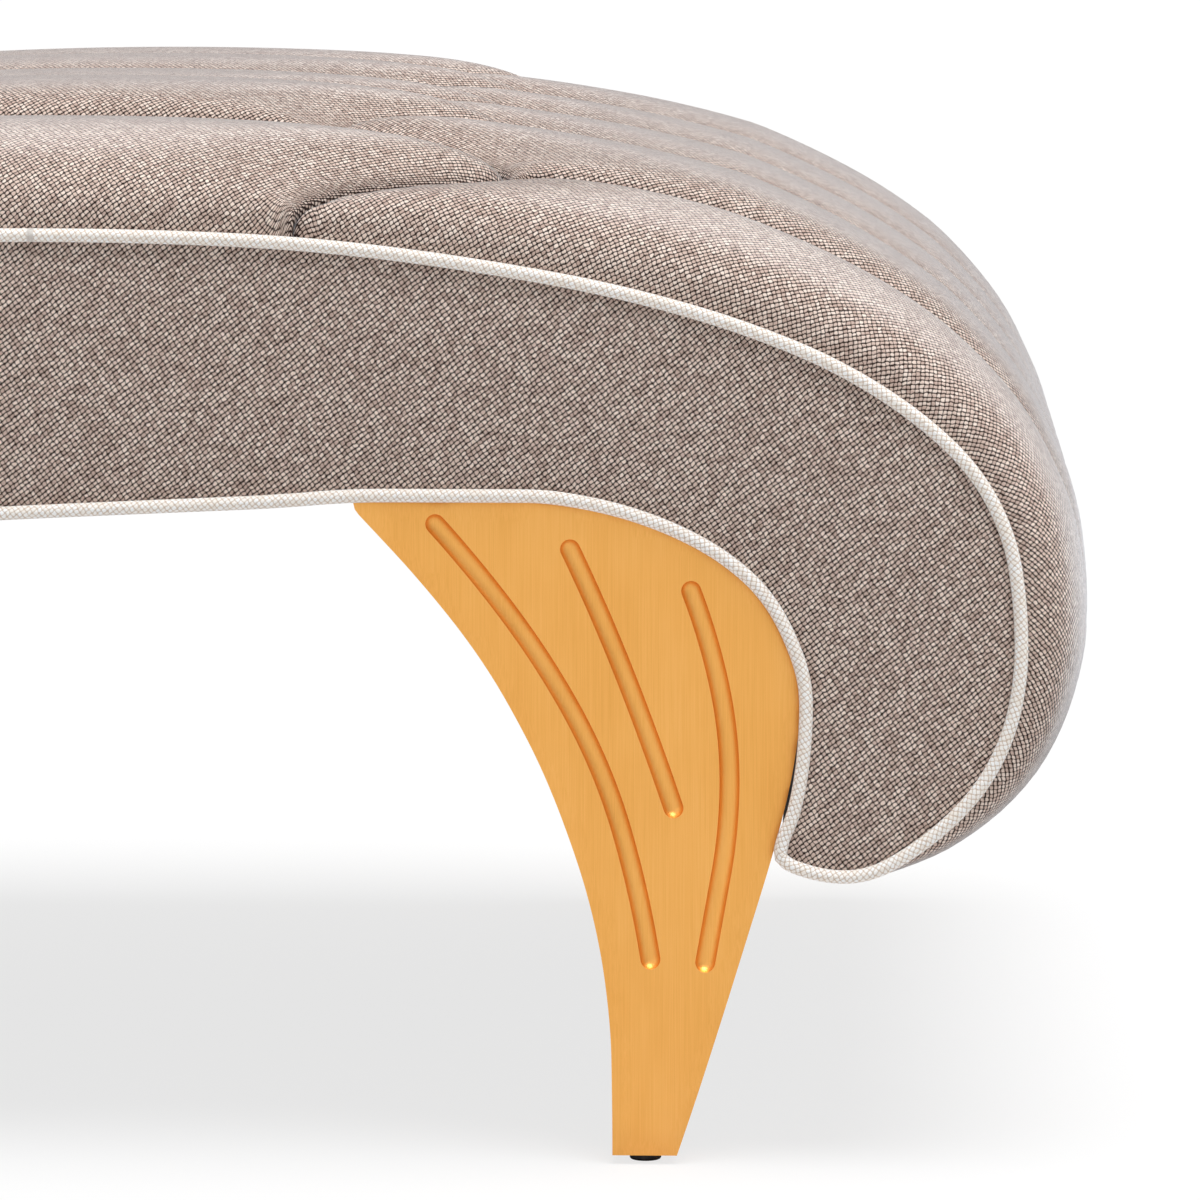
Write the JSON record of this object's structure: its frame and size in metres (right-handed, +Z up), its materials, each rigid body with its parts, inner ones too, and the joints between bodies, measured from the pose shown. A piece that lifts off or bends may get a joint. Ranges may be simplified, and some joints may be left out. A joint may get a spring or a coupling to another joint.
{
  "type": "chaise longue",
  "caption": "Armless wave-shaped chaise longue with a rolled head, channel-tufted cover, piped side panels and flat fluted gold legs on screw glides.",
  "frame": {"origin": "on the floor, under the centre of the whole piece", "axes": "+X to the foot end, +Y to the sitter's left, +Z up"},
  "size_m": [1.7233, 0.75, 0.8705],
  "materials": {
    "upholstery": "taupe melange basket weave",
    "piping": "cream woven cord",
    "brushed_gold": "brushed, gold anodised",
    "steel": "zinc plated",
    "glide": "moulded, dark brown",
    "foam": "cut foam",
    "webbing": "woven elastic strap",
    "dust_cover": "black non-woven cloth",
    "timber": "unfinished birch plywood and hardwood"
  },
  "bodies": {
    "lounge": {"back_high_rail": "timber", "back_low_rail": "timber", "back_panel": "upholstery", "deck_foam": "foam", "dust_cover": "dust_cover", "foot_channel_1": "upholstery", "foot_channel_2": "upholstery", "foot_channel_3": "upholstery", "foot_channel_4": "upholstery", "foot_channel_5": "upholstery", "foot_channel_6": "upholstery", "foot_rail": "timber", "front_leg_rail": "timber", "head_channel_1": "upholstery", "head_channel_2": "upholstery", "head_channel_3": "upholstery", "head_channel_4": "upholstery", "head_channel_5": "upholstery", "head_channel_6": "upholstery", "head_rail": "timber", "heel_foam": "foam", "heel_rail": "timber", "leg_blocks": "timber", "leg_bolts": "steel", "leg_foot_left": "brushed_gold", "leg_foot_right": "brushed_gold", "leg_head_left": "brushed_gold", "leg_head_right": "brushed_gold", "leg_plates": "steel", "leg_screws": "steel", "nut_plates": "steel", "piping_left": "piping", "piping_right": "piping", "rear_leg_rail": "timber", "rest_rail": "timber", "seat_channel_1": "upholstery", "seat_channel_2": "upholstery", "seat_channel_3": "upholstery", "seat_channel_4": "upholstery", "seat_channel_5": "upholstery", "seat_rail": "timber", "side_frame_left": "timber", "side_frame_right": "timber", "side_panel_left": "upholstery", "side_panel_right": "upholstery", "webbing": "webbing"},
    "glide_foot_left_body": {"glide_foot_left": "glide"},
    "glide_foot_right_body": {"glide_foot_right": "glide"},
    "glide_head_left_body": {"glide_head_left": "glide"},
    "glide_head_right_body": {"glide_head_right": "glide"}
  },
  "joints": [
    {"name": "glide_foot_left_screw", "type": "slide", "parent": "lounge", "child": "glide_foot_left_body", "axis": [0, 0, 1], "range_m": [-0.012, 0]},
    {"name": "glide_foot_right_screw", "type": "slide", "parent": "lounge", "child": "glide_foot_right_body", "axis": [0, 0, 1], "range_m": [-0.012, 0]},
    {"name": "glide_head_left_screw", "type": "slide", "parent": "lounge", "child": "glide_head_left_body", "axis": [0, 0, 1], "range_m": [-0.012, 0]},
    {"name": "glide_head_right_screw", "type": "slide", "parent": "lounge", "child": "glide_head_right_body", "axis": [0, 0, 1], "range_m": [-0.012, 0]}
  ]
}
